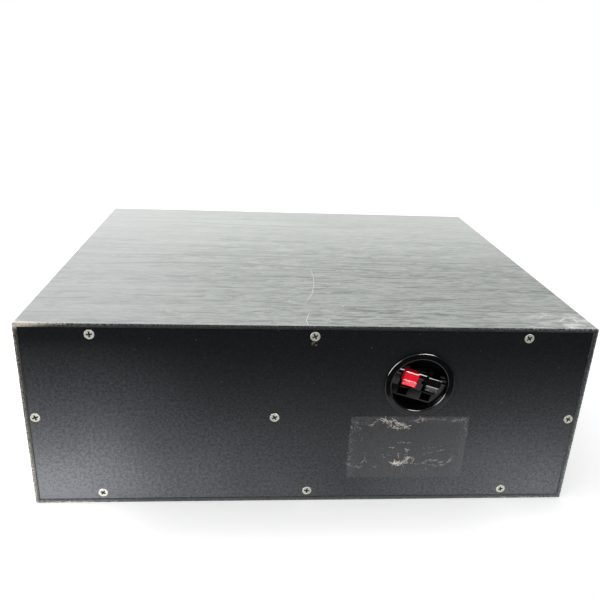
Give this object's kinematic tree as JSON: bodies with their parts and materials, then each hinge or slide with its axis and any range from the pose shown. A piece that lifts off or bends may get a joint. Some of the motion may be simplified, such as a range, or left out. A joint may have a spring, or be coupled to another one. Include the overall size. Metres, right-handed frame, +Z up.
{
  "type": "center channel speaker",
  "caption": "Wide low loudspeaker box with a recessed push terminal in its screwed back panel, drivers behind a cloth grille and wrapped mitred boards.",
  "frame": {"origin": "middle of the underside of the cabinet", "axes": "+Z up, -Y out of the grille, +Y out of the back panel, +X to the right seen from the front"},
  "size_m": [0.45, 0.3688, 0.163],
  "materials": {
    "vinyl": "satin black-ash vinyl wrap",
    "panel": "matte black painted board",
    "raw_board": "raw board",
    "screw": "dull zinc",
    "cup": "glossy black moulding",
    "red_plastic": "glossy red",
    "black_plastic": "glossy black",
    "contact_metal": "tinned brass",
    "spring_steel": "bright",
    "grille_board": "matte black",
    "cloth": "black open weave",
    "peg_plastic": "matte black",
    "basket_metal": "satin black",
    "gasket_card": "matte",
    "soft_rubber": "matte",
    "paper": "pressed paper",
    "spider_cloth": "impregnated cloth",
    "coil": "enamelled wire",
    "steel": "zinc plated",
    "ferrite": "matte grey",
    "fibre": "pressed fibre",
    "black_screw": "black oxide",
    "face_plastic": "satin black",
    "silk": "coated silk",
    "filter_board": "pressed board",
    "capacitor": "blue sleeve",
    "ceramic": "cement",
    "lead_plastic": "soft",
    "wadding": "fluffy"
  },
  "bodies": {
    "cabinet": {"top_board": "vinyl", "bottom_board": "vinyl", "left_side_board": "vinyl", "right_side_board": "vinyl", "front_baffle": "panel", "back_panel": "panel", "centre_brace": "raw_board", "back_panel_screws": "screw", "terminal_cup": "cup", "red_contact": "contact_metal", "black_contact": "contact_metal", "red_spring": "spring_steel", "black_spring": "spring_steel", "grille_sockets": "peg_plastic", "left_basket": "basket_metal", "left_gasket": "gasket_card", "left_surround": "soft_rubber", "left_spider": "spider_cloth", "left_top_plate": "steel", "left_magnet": "ferrite", "left_back_plate": "steel", "left_terminals": "fibre", "right_basket": "basket_metal", "right_gasket": "gasket_card", "right_surround": "soft_rubber", "right_spider": "spider_cloth", "right_top_plate": "steel", "right_magnet": "ferrite", "right_back_plate": "steel", "right_terminals": "fibre", "woofer_screws": "black_screw", "tweeter_faceplate": "face_plastic", "tweeter_dome": "silk", "tweeter_top_plate": "steel", "tweeter_magnet": "ferrite", "tweeter_back_plate": "steel", "tweeter_terminals": "fibre", "tweeter_screws": "black_screw", "crossover_board": "filter_board", "crossover_capacitors": "capacitor", "crossover_inductors": "coil", "crossover_resistor": "ceramic", "input_leads": "lead_plastic", "left_woofer_leads": "lead_plastic", "right_woofer_leads": "lead_plastic", "tweeter_leads": "lead_plastic", "damping_wadding": "wadding"},
    "red_lever": {"red_lever": "red_plastic"},
    "black_lever": {"black_lever": "black_plastic"},
    "grille": {"grille_rails": "grille_board", "grille_uprights": "grille_board", "grille_cloth": "cloth", "grille_pegs": "peg_plastic"},
    "left_cone": {"left_cone": "paper", "left_dust_cap": "paper", "left_voice_coil": "coil"},
    "right_cone": {"right_cone": "paper", "right_dust_cap": "paper", "right_voice_coil": "coil"},
    "tweeter_coil": {"tweeter_voice_coil": "coil"}
  },
  "joints": [
    {"name": "red_lever_press", "type": "hinge", "parent": "cabinet", "child": "red_lever", "pos_m": [-0.07834, 0.177, 0.12154], "axis": [-0.9563, 0, -0.2924], "range_deg": [0, 12], "stiffness_Nm_per_rad": 0.5, "deforming": ["red_spring"]},
    {"name": "black_lever_press", "type": "hinge", "parent": "cabinet", "child": "black_lever", "pos_m": [-0.09746, 0.177, 0.11569], "axis": [-0.9563, 0, -0.2924], "range_deg": [0, 12], "stiffness_Nm_per_rad": 0.5, "deforming": ["black_spring"]},
    {"name": "grille_pull_off", "type": "slide", "parent": "cabinet", "child": "grille", "axis": [0, -1, 0], "range_m": [0, 0.03]},
    {"name": "left_cone_travel", "type": "slide", "parent": "cabinet", "child": "left_cone", "axis": [0, -1, 0], "range_m": [-0.004, 0.004], "stiffness_N_per_m": 1200, "deforming": ["left_surround", "left_spider"]},
    {"name": "right_cone_travel", "type": "slide", "parent": "cabinet", "child": "right_cone", "axis": [0, -1, 0], "range_m": [-0.004, 0.004], "stiffness_N_per_m": 1200, "deforming": ["right_surround", "right_spider"]},
    {"name": "tweeter_coil_travel", "type": "slide", "parent": "cabinet", "child": "tweeter_coil", "axis": [0, -1, 0], "range_m": [-0.0003, 0.0003], "stiffness_N_per_m": 1000, "deforming": ["tweeter_dome"]}
  ]
}
